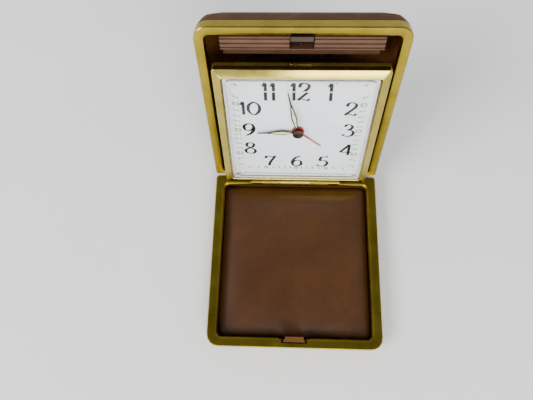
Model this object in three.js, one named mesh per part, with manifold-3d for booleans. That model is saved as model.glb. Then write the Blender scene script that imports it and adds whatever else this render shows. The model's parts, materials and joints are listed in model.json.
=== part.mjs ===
// Folding travel alarm clock: a flat base, a leaning back shell and a clock that tilts between them.
// Millimetres, +Z up. The origin is the middle of the base's flat underside; -Y is the front.
import * as THREE from 'three';
import { mergeVertices } from 'three/addons/utils/BufferGeometryUtils.js';
import Module from 'manifold-3d';

const wasm = await Module();
wasm.setup();

// ---- driving dimensions -------------------------------------------------------------------------
const WIDTH = 74; // outer width of both case halves
const LENGTH = 76.7; // hinge axis to the far edge, both halves
const OPEN_ANGLE = THREE.MathUtils.degToRad(108.4); // between the two rim planes when open
const CASE_CORNER = 5; // corner radius of the rims away from the hinge, seen face on
const HINGE_CORNER = 1.6; // the corners beside the hinge are nearly square
const OPENING_CORNER = 1.8;
const RIM_GAP = 0.15; // each rim face stops this far short of the hinge plane
const BAND_DEPTH = 4.1; // outer gold band of each rim
const SHEET = 0.8; // rim sheet thickness
const GAP = 0.3; // clearance between touching pieces

const BASE_RIM_WIDTH = 4.3;
const BACK_RIM_WIDTH = 3.7;
const BACK_HINGE_RIM_WIDTH = 2.4; // narrow beside the hinge, so that the clock's knuckles pass
const SHELL_TOP = 4.4; // depth at which the covered shells come flush with the bands
const SHELL_WALL = 0.9;
const BACK_DEPTH = 23;
const BACK_DOME = 22; // how far the back's sides lean in
const HEEL_DOME = 1; // the hinge side stays square, so that it stands on the table
const BASE_DOME = 5;
const DOME_STEPS = 6;
const CORNER_STEPS = 4;
const COLLAR_TOP = 2.8; // depth at which the shells' collars begin, inside the bands

const HINGE_BARREL = 1.4;
const HINGE_PIN = 0.55;
const HINGE_HOLE = 0.75;
const BASE_KNUCKLES = [[-24, -15], [-4.5, 4.5], [15, 24]];
const BACK_KNUCKLES = [[-14.7, -4.8], [4.8, 14.7]];

// the clock's own pivot stands on the base rim, just in front of the case hinge
const PIVOT_RUN = 3.7;
const PIVOT_RISE = 1.2;
const PIVOT_BARREL = 0.75;
const PIVOT_ROD = 0.35;
const PIVOT_HOLE = 0.5;
const PIVOT_LUGS = [[-20, -15], [15, 20]];
const CLOCK_KNUCKLES = [[-14.6, -7], [7, 14.6]];
const STRAP_HALF = 6.6;
const CARRIER = [-1, -0.1]; // level of the folding frame behind the clock

// latch
const NOTCH_HALF = 4.3;
const TONGUE_HALF = 3.9;
const LEDGE_HALF = 28.2;
const LEDGE_LOW = 67.6;
const LEDGE_HIGH = 72.5;
const LEDGE_FRONT = -0.9;
const LEDGE_BACK = -6.4;
const SLOT_LOW = 68.2;

// clock: its own axes are X to the right, Y up its face and Z out of the dial, centred on the hands
const CLOCK_CENTRE = 32.1; // from the case hinge, along the back shell
const CLOCK_HALF_X = 31.6;
const CLOCK_HALF_Y = 31.1;
const CLOCK_CORNER = 1;
const BEZEL_BACK = 2.2;
const BEZEL_EDGE = 4.7;
const BEZEL_CREST = 5.7;
const BEZEL_WIDTH = 3.2;
const CRYSTAL_HALF_X = 28;
const CRYSTAL_HALF_Y = 27.6;
const CRYSTAL_FRONT = 6.6;
const DIAL_BACK = 1.4;
const DIAL_FRONT = 2;
const DIAL_HALF_X = 27.8;
const DIAL_HALF_Y = 27.4;

const HOUR_ANGLE = THREE.MathUtils.degToRad(182); // hour hand just short of nine
const MINUTE_ANGLE = THREE.MathUtils.degToRad(102); // minute hand at fifty-eight
const ALARM_ANGLE = THREE.MathUtils.degToRad(-41); // alarm hand just past four
const HOUR_LENGTH = 16.5;
const MINUTE_LENGTH = 21;
const ALARM_LENGTH = 13;

// movement levels, measured like the clock's Z
const FRONT_PLATE = [-2.7, -1.9];
const BACK_PLATE = [-9.5, -8.7];
const PLATE_HALF_X = 23;
const PLATE_HALF_Y = 22;
const COVER_HALF_X = 26;
const COVER_HALF_Y = 25;
const COVER_BACK = -12.1;
const KNOB_BACK = -15.3;
const PIVOT_SIZE = 0.5;
const PIVOT_BORE = 0.85;

// gears: teeth and module of each pair
const GREAT = { teeth: 40, module: 0.576 };
const CENTRE_PINION = { teeth: 8, module: 0.576 };
const CENTRE = { teeth: 36, module: 0.48 };
const THIRD_PINION = { teeth: 6, module: 0.48 };
const THIRD = { teeth: 36, module: 0.426 };
const FOURTH_PINION = { teeth: 6, module: 0.426 };
const FOURTH = { teeth: 36, module: 0.346 };
const ESCAPE_PINION = { teeth: 6, module: 0.346 };
const ALARM_GREAT = { teeth: 30, module: 0.54 };
const STRIKE_PINION = { teeth: 6, module: 0.54 };
const CANNON = { teeth: 10, module: 0.42 };
const MINUTE = { teeth: 30, module: 0.42 };
const MINUTE_PINION = { teeth: 8, module: 0.42 };
const HOUR = { teeth: 32, module: 0.42 };
const ALARM = { teeth: 36, module: 0.667 };
const ALARM_SETTING = { teeth: 21, module: 0.667 };

// ---- materials ----------------------------------------------------------------------------------
function finish(color, roughness, metalness) {
  return new THREE.MeshStandardMaterial({ color, roughness, metalness });
}
const gold = finish(0xa8923a, 0.32, 1);
const leather = finish(0x6b3f27, 0.6, 0);
const padding = finish(0x7a4a33, 0.65, 0);
const plastic = finish(0x8a6a62, 0.5, 0);
const clear = finish(0xf4f6f8, 0.05, 0);
const dialWhite = finish(0xdadbe8, 0.6, 0);
const lume = finish(0xd9dcae, 0.6, 0);
const red = finish(0xb23024, 0.5, 0);
const darkMetal = finish(0x3a2a20, 0.4, 0.8);
const brass = finish(0xb5954a, 0.3, 1);
const steel = finish(0x9a9ea3, 0.3, 1);
const spring = finish(0x50545a, 0.35, 1);

// ---- geometry helpers ---------------------------------------------------------------------------
function positionsOnly(geometry) {
  const bare = geometry.clone();
  bare.deleteAttribute('normal');
  bare.deleteAttribute('uv');
  return mergeVertices(bare, 1e-4);
}

// turns an indexed surface right side out
function facingOut(geometry) {
  const positions = geometry.attributes.position;
  const index = Array.from(geometry.index.array);
  const corner = (i) => new THREE.Vector3().fromBufferAttribute(positions, index[i]);
  let volume = 0;
  for (let i = 0; i < index.length; i += 3) volume += corner(i).dot(corner(i + 1).cross(corner(i + 2)));
  if (volume < 0) geometry.setIndex(index.reverse());
  return geometry;
}

function toSolid(geometry) {
  const merged = positionsOnly(geometry);
  const corners = Array.from(merged.index.array);
  const kept = [];
  for (let i = 0; i < corners.length; i += 3) {
    const [a, b, c] = corners.slice(i, i + 3);
    if (a !== b && b !== c && c !== a) kept.push(a, b, c);
  }
  const vertProperties = new Float32Array(merged.attributes.position.array);
  const triVerts = new Uint32Array(kept);
  return new wasm.Manifold(new wasm.Mesh({ numProp: 3, vertProperties, triVerts }));
}

function toGeometry(solid) {
  const mesh = solid.getMesh();
  const geometry = new THREE.BufferGeometry();
  geometry.setAttribute('position', new THREE.BufferAttribute(new Float32Array(mesh.vertProperties), 3));
  geometry.setIndex(new THREE.BufferAttribute(new Uint32Array(mesh.triVerts), 1));
  return geometry;
}

function join(first, ...others) {
  let solid = toSolid(first);
  for (const other of others) solid = solid.add(toSolid(other));
  return toGeometry(solid);
}

function cut(body, ...tools) {
  let solid = toSolid(body);
  for (const tool of tools) solid = solid.subtract(toSolid(tool));
  return toGeometry(solid);
}

function box([x0, x1], [y0, y1], [z0, z1]) {
  const geometry = new THREE.BoxGeometry(x1 - x0, y1 - y0, z1 - z0);
  return geometry.translate((x0 + x1) / 2, (y0 + y1) / 2, (z0 + z1) / 2);
}

function rodX(radius, [x0, x1], y, z, sides = 12) {
  const geometry = new THREE.CylinderGeometry(radius, radius, x1 - x0, sides);
  return geometry.rotateZ(Math.PI / 2).translate((x0 + x1) / 2, y, z);
}

function discZ(radius, [z0, z1], [x, y] = [0, 0], sides = 20) {
  const geometry = new THREE.CylinderGeometry(radius, radius, z1 - z0, sides);
  return geometry.rotateX(Math.PI / 2).translate(x, y, (z0 + z1) / 2);
}

// a profile of [radius, z] pairs turned about the Z axis through a place
function turned(profile, [x, y] = [0, 0], sides = 20) {
  const points = profile.map(([radius, z]) => new THREE.Vector2(radius, -z));
  const geometry = new THREE.LatheGeometry(points, sides).rotateX(-Math.PI / 2);
  return facingOut(positionsOnly(geometry)).translate(x, y, 0);
}

// a tube is a turned profile that closes on itself
function tube(inner, outer, [z0, z1], spot = [0, 0], sides = 12) {
  return turned([[inner, z0], [outer, z0], [outer, z1], [inner, z1], [inner, z0]], spot, sides);
}

// a plain stepped arbor: pairs of radius and the Z level at which that radius ends, from z0 downwards
function arbor(z0, steps, spot, sides = 8) {
  const profile = [[0, z0]];
  let level = z0;
  for (const [radius, end] of steps) {
    profile.push([radius, level], [radius, end]);
    level = end;
  }
  profile.push([0, level]);
  return turned(profile, spot, sides);
}

function slab(shape, [z0, z1], curveSegments = 6) {
  const geometry = new THREE.ExtrudeGeometry(shape, { depth: z1 - z0, bevelEnabled: false, curveSegments });
  return geometry.translate(0, 0, z0);
}

// an outline of [y, z] points pulled along X
function extrudeX(outline, [x0, x1]) {
  const geometry = slab(new THREE.Shape(outline.map(([y, z]) => new THREE.Vector2(y, z))), [x0, x1]);
  return geometry.applyMatrix4(new THREE.Matrix4().set(0, 0, 1, 0, 1, 0, 0, 0, 0, 1, 0, 0, 0, 0, 0, 1));
}

// rounded rectangle as points, anticlockwise from the right end of the low edge
function roundedOutline({ half, low, high, lowRadius, highRadius }, steps = CORNER_STEPS) {
  const corners = [
    [half - lowRadius, low + lowRadius, lowRadius, -90],
    [half - highRadius, high - highRadius, highRadius, 0],
    [-half + highRadius, high - highRadius, highRadius, 90],
    [-half + lowRadius, low + lowRadius, lowRadius, 180],
  ];
  const points = [];
  for (const [x, y, radius, start] of corners) {
    for (let i = 0; i <= steps; i += 1) {
      const angle = THREE.MathUtils.degToRad(start + (90 * i) / steps);
      points.push(new THREE.Vector2(x + radius * Math.cos(angle), y + radius * Math.sin(angle)));
    }
  }
  return points;
}

// the corners never get sharper than a small radius
function inset(outline, amount, hingeAmount = amount) {
  const shrink = (radius) => Math.max(radius - amount, Math.min(radius, 1.4));
  return {
    half: outline.half - amount,
    low: outline.low + hingeAmount,
    high: outline.high - amount,
    lowRadius: shrink(outline.lowRadius),
    highRadius: shrink(outline.highRadius),
  };
}

// skins a row of rings that have the same number of points; open rows get flat ends
function loft(rings, endless) {
  const count = rings[0].length;
  const positions = rings.flat().flatMap((point) => [point.x, point.y, point.z]);
  const index = [];
  const spans = endless ? rings.length : rings.length - 1;
  for (let ring = 0; ring < spans; ring += 1) {
    const here = ring * count;
    const there = ((ring + 1) % rings.length) * count;
    for (let i = 0; i < count; i += 1) {
      const j = (i + 1) % count;
      index.push(here + i, here + j, there + j, here + i, there + j, there + i);
    }
  }
  if (!endless) {
    const last = (rings.length - 1) * count;
    for (let i = 1; i < count - 1; i += 1) {
      index.push(0, i + 1, i);
      index.push(last, last + i, last + i + 1);
    }
  }
  const geometry = new THREE.BufferGeometry();
  geometry.setAttribute('position', new THREE.Float32BufferAttribute(positions, 3));
  geometry.setIndex(index);
  return facingOut(geometry);
}

function ringAt(outline, z, steps = CORNER_STEPS) {
  return roundedOutline(outline, steps).map((point) => new THREE.Vector3(point.x, point.y, z));
}

function outlineShape(outline, steps = CORNER_STEPS) {
  return new THREE.Shape(roundedOutline(outline, steps));
}

function centredOutline(halfX, halfY, radius) {
  return { half: halfX, low: -halfY, high: halfY, lowRadius: radius, highRadius: radius };
}

function roundHole([x, y], radius) {
  const hole = new THREE.Path();
  hole.absarc(x, y, radius, 0, 2 * Math.PI, true);
  return hole;
}

// ---- case halves --------------------------------------------------------------------------------
// Both halves are drawn face up: Y runs from the hinge axis, Z = 0 is the hinge plane, depth is -Z.
const CASE_OUTLINE = {
  half: WIDTH / 2,
  low: 0,
  high: LENGTH,
  lowRadius: HINGE_CORNER,
  highRadius: CASE_CORNER,
};

// the rolled gold frame: a hollow channel of sheet, [inset, depth] round its section
function rimGeometry(width, hingeWidth) {
  const edge = 0.35;
  const roll = 1.4;
  const lipDepth = 2.4;
  const section = (w) => [
    [0, BAND_DEPTH],
    [0, RIM_GAP + edge],
    [edge, RIM_GAP],
    [w - roll, RIM_GAP],
    [w - roll / 3, RIM_GAP + 0.3],
    [w, RIM_GAP + 1.1],
    [w, lipDepth],
    [w - SHEET, lipDepth],
    [w - SHEET, RIM_GAP + 1.4],
    [w - roll - 0.1, RIM_GAP + SHEET],
    [SHEET, RIM_GAP + SHEET],
    [SHEET, BAND_DEPTH],
  ];
  const hingeSide = section(hingeWidth);
  const rings = section(width).map(([amount, depth], i) => {
    const outline = inset(CASE_OUTLINE, amount, hingeSide[i][0]);
    outline.highRadius = THREE.MathUtils.lerp(CASE_CORNER, OPENING_CORNER, amount / width);
    outline.lowRadius = THREE.MathUtils.lerp(HINGE_CORNER, OPENING_CORNER, amount / width);
    return ringAt(outline, -depth);
  });
  return loft(rings, true);
}

// how far a domed wall has leant in and gone down, for a step between 0 at the band and 1 at the floor
function domeStep(step, dome, depth) {
  const angle = (step * Math.PI) / 2;
  return [dome * (1 - Math.cos(angle)), SHELL_TOP + (depth - SHELL_TOP) * Math.sin(angle)];
}

function domeOutline(amount, hingeAmount) {
  const outline = inset(CASE_OUTLINE, amount, hingeAmount);
  outline.highRadius = CASE_CORNER + 0.36 * amount;
  outline.lowRadius = HINGE_CORNER + 0.36 * hingeAmount;
  return outline;
}

// covered steel shell: domed outside, matching inside, and a collar that stands inside the gold band
function shellGeometry(depth, dome, hingeDome) {
  const collar = SHEET + GAP;
  const rings = [];
  for (let i = DOME_STEPS; i >= 0; i -= 1) {
    const [amount, level] = domeStep(i / DOME_STEPS, dome, depth);
    const [hingeAmount] = domeStep(i / DOME_STEPS, hingeDome, depth);
    rings.push(ringAt(domeOutline(amount, hingeAmount), -level));
  }
  rings.push(ringAt(inset(CASE_OUTLINE, collar), -SHELL_TOP));
  rings.push(ringAt(inset(CASE_OUTLINE, collar), -COLLAR_TOP));
  rings.push(ringAt(inset(CASE_OUTLINE, collar + 0.7), -COLLAR_TOP));
  for (let i = 0; i <= DOME_STEPS; i += 1) {
    const [amount, level] = domeStep(i / DOME_STEPS, dome - 0.9, depth - SHELL_WALL);
    const [hingeAmount] = domeStep(i / DOME_STEPS, hingeDome, depth - SHELL_WALL);
    rings.push(ringAt(domeOutline(amount + collar + 0.7, hingeAmount + collar + 0.7), -level));
  }
  return loft(rings, false);
}

// the table under the open clock: as deep as the back shell's square heel reaches below the hinge
function heelReach() {
  let reach = 0;
  for (let i = 0; i <= DOME_STEPS; i += 1) {
    const [amount, level] = domeStep(i / DOME_STEPS, HEEL_DOME, BACK_DEPTH);
    reach = Math.max(reach, -level * Math.cos(OPEN_ANGLE) - amount * Math.sin(OPEN_ANGLE));
  }
  return reach;
}
const BASE_DEPTH = heelReach();

// adds a half's own hinge knuckles, clears the other half's, and bores the pin hole
function withKnuckles(rim, own, other) {
  const barrels = own.map((span) => rodX(HINGE_BARREL, span, 0, 0));
  const clearings = other.map(([x0, x1]) => rodX(HINGE_BARREL + 0.35, [x0 - 0.3, x1 + 0.3], 0, 0));
  const pinHole = rodX(HINGE_HOLE, [-WIDTH, WIDTH], 0, 0);
  return cut(join(rim, ...barrels), ...clearings, pinHole);
}

function baseRim() {
  const rim = rimGeometry(BASE_RIM_WIDTH, BASE_RIM_WIDTH);
  const lugs = PIVOT_LUGS.flatMap((span) => [
    rodX(PIVOT_BARREL, span, PIVOT_RUN, PIVOT_RISE),
    box(span, [PIVOT_RUN - 0.6, PIVOT_RUN + 0.6], [-1.4, PIVOT_RISE]),
  ]);
  const notch = box([-5.4, 5.4], [LENGTH - 4.5, LENGTH - 2], [-3, 1]);
  const relief = box([-6.6, 6.6], [LENGTH - 4.5, LENGTH - 3.6], [-3, 1]);
  const rodHole = rodX(PIVOT_HOLE, [-25, 25], PIVOT_RUN, PIVOT_RISE);
  return cut(withKnuckles(join(rim, ...lugs), BASE_KNUCKLES, BACK_KNUCKLES), notch, relief, rodHole);
}

function backRim() {
  const rim = rimGeometry(BACK_RIM_WIDTH, BACK_HINGE_RIM_WIDTH);
  const notch = box([-NOTCH_HALF, NOTCH_HALF], [LENGTH - 4.5, LENGTH - 2.4], [-3, 1]);
  const relief = box([-NOTCH_HALF - 2, NOTCH_HALF + 2], [LENGTH - 4.5, LENGTH - 3.4], [-3, 1]);
  return cut(withKnuckles(rim, BACK_KNUCKLES, BASE_KNUCKLES), notch, relief);
}

// shells are cut back where hinge knuckles reach into them
function hingeCleared(shell) {
  const barrel = rodX(HINGE_BARREL + 0.35, [-25, 25], 0, 0);
  return cut(shell, barrel);
}

function baseLiner() {
  const floor = -(BASE_DEPTH - SHELL_WALL) + GAP;
  const pad = [[5.4, floor], [3.9, floor + 0.9], [3.9, -3.5], [5.2, -2.95], [8, -2.6], [14, -2.4]];
  return loft(pad.map(([amount, z]) => ringAt(inset(CASE_OUTLINE, amount), z)), false);
}

// a stepped plastic tongue that stands in the notch, with a nib that hooks the catch
function latchTongue() {
  const foot = box([-4.5, 4.5], [LENGTH - 3.4, LENGTH - 2.4], [-4.6, -0.4]);
  const blade = box([-TONGUE_HALF, TONGUE_HALF], [LENGTH - 3.4, LENGTH - 2.7], [-1, 2.6]);
  const nib = box([-TONGUE_HALF, TONGUE_HALF], [LENGTH - 4.6, LENGTH - 3.2], [1.8, 2.6]);
  return join(foot, blade, nib);
}

// ---- inside the back shell ----------------------------------------------------------------------
// ledge with three ridges across its face, a recessed wall below it, ribs and a floor plate
function innerTray() {
  const ridge = (low, high) => [
    [low, LEDGE_FRONT],
    [low + 0.15, LEDGE_FRONT + 0.6],
    [high - 0.15, LEDGE_FRONT + 0.6],
    [high, LEDGE_FRONT],
  ];
  const outline = [
    [LEDGE_LOW, LEDGE_BACK],
    [LEDGE_LOW, LEDGE_FRONT],
    ...ridge(67.8, 68.5),
    ...ridge(69.3, 70.1),
    ...ridge(70.9, 71.9),
    [LEDGE_HIGH, LEDGE_FRONT],
    [LEDGE_HIGH, LEDGE_BACK - 1.2],
    [61.9, LEDGE_BACK - 1.2],
    [61.9, LEDGE_BACK],
  ];
  const ledge = extrudeX(outline, [-LEDGE_HALF, LEDGE_HALF]);
  const slot = box([-NOTCH_HALF, NOTCH_HALF], [SLOT_LOW, LEDGE_HIGH + 1], [-5.4, 1]);
  const rib = [
    [62.2, -7.3],
    [67, -7.3],
    [67, -14],
    [64, -18],
    [58.8, -21],
    [54, -21],
    [54, -20.8],
    [58.2, -20.6],
    [61.4, -17.8],
  ];
  const ribs = [-11, 10].map((x) => extrudeX(rib, [x, x + 1]));
  const floor = box([-11, 11], [8, 55], [-21.3, -20.8]);
  return join(cut(ledge, slot), ...ribs, floor);
}

// the bar that the tongue pushes down and that springs back over the nib
function latchCatch() {
  const bar = box([-3.9, 3.9], [70.7, 71.6], [-4.6, -0.8]);
  const lip = box([-3.9, 3.9], [71.2, 72.5], [-1.5, -0.8]);
  return join(bar, lip);
}

class Coil extends THREE.Curve {
  constructor(radius, turns, length) {
    super();
    this.radius = radius;
    this.turns = turns;
    this.length = length;
  }

  getPoint(t, target = new THREE.Vector3()) {
    const angle = 2 * Math.PI * this.turns * t;
    return target.set(this.radius * Math.cos(angle), this.length * t, this.radius * Math.sin(angle));
  }
}

function wireSection(radius, sides) {
  const section = new THREE.Shape();
  for (let i = 0; i < sides; i += 1) {
    const angle = (2 * Math.PI * i) / sides;
    const point = [radius * Math.cos(angle), radius * Math.sin(angle)];
    if (i === 0) section.moveTo(...point);
    else section.lineTo(...point);
  }
  section.closePath();
  return section;
}

function latchSpring() {
  const length = 1.5;
  const path = new Coil(0.8, 3, length);
  const options = { steps: 27, bevelEnabled: false, extrudePath: path };
  return new THREE.ExtrudeGeometry(wireSection(0.16, 5), options).translate(0, SLOT_LOW + 0.5, -3.4);
}

// ---- clock body ---------------------------------------------------------------------------------
// From here the axes are the clock's own. The pivot is given in them too.
const PIVOT_Y = -PIVOT_RUN * -Math.cos(OPEN_ANGLE) + PIVOT_RISE * Math.sin(OPEN_ANGLE) - CLOCK_CENTRE;
const PIVOT_Z = PIVOT_RUN * Math.sin(OPEN_ANGLE) - PIVOT_RISE * Math.cos(OPEN_ANGLE);
const CLOCK_OUTLINE = centredOutline(CLOCK_HALF_X, CLOCK_HALF_Y, CLOCK_CORNER);

function bezelGeometry() {
  const section = [
    [0, BEZEL_BACK],
    [0, BEZEL_EDGE - 0.25],
    [0.3, BEZEL_EDGE],
    [BEZEL_WIDTH - 0.3, BEZEL_CREST],
    [BEZEL_WIDTH, BEZEL_CREST - 0.2],
    [BEZEL_WIDTH, 2.4],
    [BEZEL_WIDTH - SHEET, 2.4],
    [BEZEL_WIDTH - SHEET, BEZEL_CREST - 1.1],
    [SHEET, BEZEL_EDGE - SHEET],
    [SHEET, BEZEL_BACK],
  ];
  return loft(section.map(([amount, z]) => ringAt(inset(CLOCK_OUTLINE, amount), z, 2)), true);
}

// raised clear box, open at the back: plain inside, with a broad bevelled facet round its front
function crystalGeometry() {
  const outline = centredOutline(CRYSTAL_HALF_X, CRYSTAL_HALF_Y, 0.8);
  const section = [
    [1.2, CRYSTAL_FRONT - 1.5],
    [1.2, DIAL_FRONT + GAP],
    [0, DIAL_FRONT + GAP],
    [0, CRYSTAL_FRONT - 1.5],
    [4.4, CRYSTAL_FRONT],
  ];
  return loft(section.map(([amount, z]) => ringAt(inset(outline, amount), z, 2)), false);
}

function dialGeometry() {
  const face = outlineShape(centredOutline(DIAL_HALF_X, DIAL_HALF_Y, 0.8), 2);
  face.holes.push(roundHole([0, 0], 2.5));
  return slab(face, [DIAL_BACK, DIAL_FRONT]);
}

// gold tray behind the bezel: skirt, flange, movement posts and the two knuckles on the pivot rod
function clockCase() {
  const skirt = [[0, 0.4], [0, 1.9], [SHEET, 1.9], [SHEET, 0.4]];
  const window = centredOutline(19, 22.1, 2);
  window.high = 26.3;
  const frame = outlineShape(inset(CLOCK_OUTLINE, 0.4), 2);
  frame.holes.push(new THREE.Path(roundedOutline(window, 3)));
  const flange = slab(frame, [0.4, 1]);
  const wall = loft(skirt.map(([amount, z]) => ringAt(inset(CLOCK_OUTLINE, amount), z, 2)), true);
  const posts = [-21.2, 21.2].flatMap((x) => [-17.5, 17.5].map((y) => discZ(1.1, [-1.6, 0.7], [x, y], 12)));
  const web = [
    [PIVOT_Y, 1.7],
    [PIVOT_Y + 0.9, 1.35],
    [PIVOT_Y + 1.4, 1],
    [PIVOT_Y + 1.4, 1.85],
    [PIVOT_Y + 0.5, 1.85],
    [PIVOT_Y + 0.5, PIVOT_Z],
    [PIVOT_Y, PIVOT_Z],
  ];
  const knuckles = CLOCK_KNUCKLES.flatMap((span) => [
    rodX(PIVOT_BARREL, span, PIVOT_Y, PIVOT_Z),
    extrudeX(web, span),
  ]);
  const barSlot = box([-4, 4], [CLOCK_HALF_Y - 2, CLOCK_HALF_Y + 1], [1.05, 1.85]);
  const leverSlot = box([-1.3, 1.3], [28, 30.4], [0, 1.5]);
  const rodHole = rodX(PIVOT_HOLE, [-25, 25], PIVOT_Y, PIVOT_Z);
  const hingeRoom = rodX(HINGE_BARREL + 0.25, [-24.3, 24.3], -CLOCK_CENTRE, 0);
  const strapHalf = STRAP_HALF + 0.3;
  const strapRoom = box([-strapHalf, strapHalf], [-CLOCK_HALF_Y - 1, 3.7 - CLOCK_CENTRE], [0, 2.1]);
  return cut(join(wall, flange, ...posts, ...knuckles), barSlot, leverSlot, rodHole, hingeRoom, strapRoom);
}

function alarmStopBar() {
  const bar = box([-3.6, 3.6], [29.4, CLOCK_HALF_Y + 0.3], [1.2, 1.7]);
  const lever = box([-0.8, 0.8], [29.4, 30], [-1, 1.7]);
  return join(bar, lever);
}

// U-shaped steel frame behind the clock that folds with the case: it sets how far the clock leans back,
// and the clock swings forward from it; its strap passes over the case hinge to the pivot rod
function carrierFrame() {
  const span = [-STRAP_HALF, STRAP_HALF];
  const barrel = rodX(PIVOT_BARREL, span, PIVOT_Y, PIVOT_Z);
  const strap = [
    [-0.03, PIVOT_Z],
    [-0.03, 1.75],
    [0.6, 1.65],
    [1.2, 1.25],
    [1.6, 0.75],
    [1.75, 0.3],
    [2.75, 0.25],
    [2.75, CARRIER[0]],
    [4, CARRIER[0]],
    [4, CARRIER[1]],
    [3.4, CARRIER[1]],
    [3, 0.9],
    [2.2, 0.95],
    [1.9, 1.4],
    [1.2, 1.9],
    [0.55, 2.1],
    [0.55, PIVOT_Z],
  ];
  const bent = extrudeX(strap.map(([height, z]) => [height - CLOCK_CENTRE, z]), span);
  const outline = centredOutline(30.8, 0, 1.5);
  outline.low = 2.75 - CLOCK_CENTRE;
  outline.high = 61 - CLOCK_CENTRE;
  const coverHalf = COVER_HALF_X + 0.4;
  const coverRoom = box([-coverHalf, coverHalf], [-COVER_HALF_Y - 0.3, CLOCK_HALF_Y], [-2, 1]);
  const arms = cut(slab(outlineShape(outline, 2), CARRIER), coverRoom);
  return cut(join(barrel, bent, arms), rodX(PIVOT_HOLE, [-25, 25], PIVOT_Y, PIVOT_Z));
}

// ---- hands --------------------------------------------------------------------------------------
// a lozenge hand with a long thin point, drawn along +X from its boss and then turned
function handShape(length, width, boss, hole) {
  const shape = new THREE.Shape();
  const start = Math.asin(0.4 / boss);
  shape.absarc(0, 0, boss, start, 2 * Math.PI - start, false);
  shape.lineTo(0.15 * length, -0.4);
  shape.lineTo(0.38 * length, -width / 2);
  shape.lineTo(0.74 * length, -0.36);
  shape.lineTo(length, -0.22);
  shape.lineTo(length, 0.22);
  shape.lineTo(0.74 * length, 0.36);
  shape.lineTo(0.38 * length, width / 2);
  shape.lineTo(0.15 * length, 0.4);
  shape.holes.push(roundHole([0, 0], hole));
  return shape;
}

function hourHand() {
  return slab(handShape(HOUR_LENGTH, 2.5, 2.1, 1.15), [2.95, 3.25]).rotateZ(HOUR_ANGLE);
}

function minuteHand() {
  return slab(handShape(MINUTE_LENGTH, 2.4, 1.9, 0.62), [3.5, 3.8]).rotateZ(MINUTE_ANGLE);
}

function alarmHand() {
  const shape = new THREE.Shape();
  shape.absarc(0, 0, 2.6, 0.12, 2 * Math.PI - 0.12, false);
  shape.lineTo(ALARM_LENGTH, -0.22);
  shape.lineTo(ALARM_LENGTH, 0.22);
  shape.holes.push(roundHole([0, 0], 1.8));
  return slab(shape, [2.35, 2.65]).rotateZ(ALARM_ANGLE);
}

// ---- gears --------------------------------------------------------------------------------------
function pitchRadius(gear) {
  return (gear.teeth * gear.module) / 2;
}

function spacing(first, second) {
  return pitchRadius(first) + pitchRadius(second);
}

// pointed teeth that run with backlash; a tooth points along the phase angle
function gearShape(gear, phase, hole = 0) {
  const pitch = (2 * Math.PI) / gear.teeth;
  const root = pitchRadius(gear) - 1.0 * gear.module;
  const tip = pitchRadius(gear) + 0.72 * gear.module;
  const shape = new THREE.Shape();
  for (let tooth = 0; tooth < gear.teeth; tooth += 1) {
    const middle = phase + tooth * pitch;
    const corners = [[root, -0.5], [tip, 0]];
    for (const [radius, share] of corners) {
      const angle = middle + share * pitch;
      const point = [radius * Math.cos(angle), radius * Math.sin(angle)];
      if (tooth === 0 && share < 0) shape.moveTo(...point);
      else shape.lineTo(...point);
    }
  }
  shape.closePath();
  if (hole > 0) shape.holes.push(roundHole([0, 0], hole));
  return shape;
}

function gearSlab(gear, levels, spot, phase, hole = 0) {
  return slab(gearShape(gear, phase, hole), levels, 4).translate(spot[0], spot[1], 0);
}

function along([x, y], degrees, distance) {
  const angle = THREE.MathUtils.degToRad(degrees);
  return [x + distance * Math.cos(angle), y + distance * Math.sin(angle)];
}

function bearing(from, to) {
  return Math.atan2(to[1] - from[1], to[0] - from[0]);
}

// the driven gear shows a gap where the driver, seen along the same line, shows a tooth
function toothToward(from, to) {
  return bearing(from, to);
}

function gapToward(from, to, gear) {
  return bearing(from, to) + Math.PI / gear.teeth;
}

// ---- movement layout ----------------------------------------------------------------------------
const HUB = [0, 0];
const GOING_BARREL = along(HUB, 220, spacing(GREAT, CENTRE_PINION));
const THIRD_ARBOR = along(HUB, 45, spacing(CENTRE, THIRD_PINION));
const FOURTH_ARBOR = along(THIRD_ARBOR, 155, spacing(THIRD, FOURTH_PINION));
const ESCAPE_ARBOR = along(FOURTH_ARBOR, 190, spacing(FOURTH, ESCAPE_PINION));
const PALLET_ARBOR = along(ESCAPE_ARBOR, 200, 5.6);
const BALANCE_STAFF = along(PALLET_ARBOR, 105, 6.6);
const ALARM_BARREL = [13, -10.5];
const STRIKE_ARBOR = along(ALARM_BARREL, 75, spacing(ALARM_GREAT, STRIKE_PINION));
const HAMMER_ARBOR = along(STRIKE_ARBOR, 62, 6.3);
const MINUTE_ARBOR = along(HUB, 200, spacing(CANNON, MINUTE));
const ALARM_STEM = along(HUB, 76, spacing(ALARM, ALARM_SETTING));
const PILLARS = [-20.5, 20.5].flatMap((x) => [-19.5, 19.5].map((y) => [x, y]));
const COVER_SCREWS = [[-22.6, 0], [22.6, 0]];
const CLICK_OFFSET = 6.1;

function plate(levels, smallHoles, wideHoles) {
  const shape = outlineShape(centredOutline(PLATE_HALF_X, PLATE_HALF_Y, 3), 3);
  for (const spot of smallHoles) shape.holes.push(roundHole(spot, PIVOT_BORE));
  for (const spot of wideHoles) shape.holes.push(roundHole(spot, 1.6));
  return slab(shape, levels, 4);
}

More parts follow.
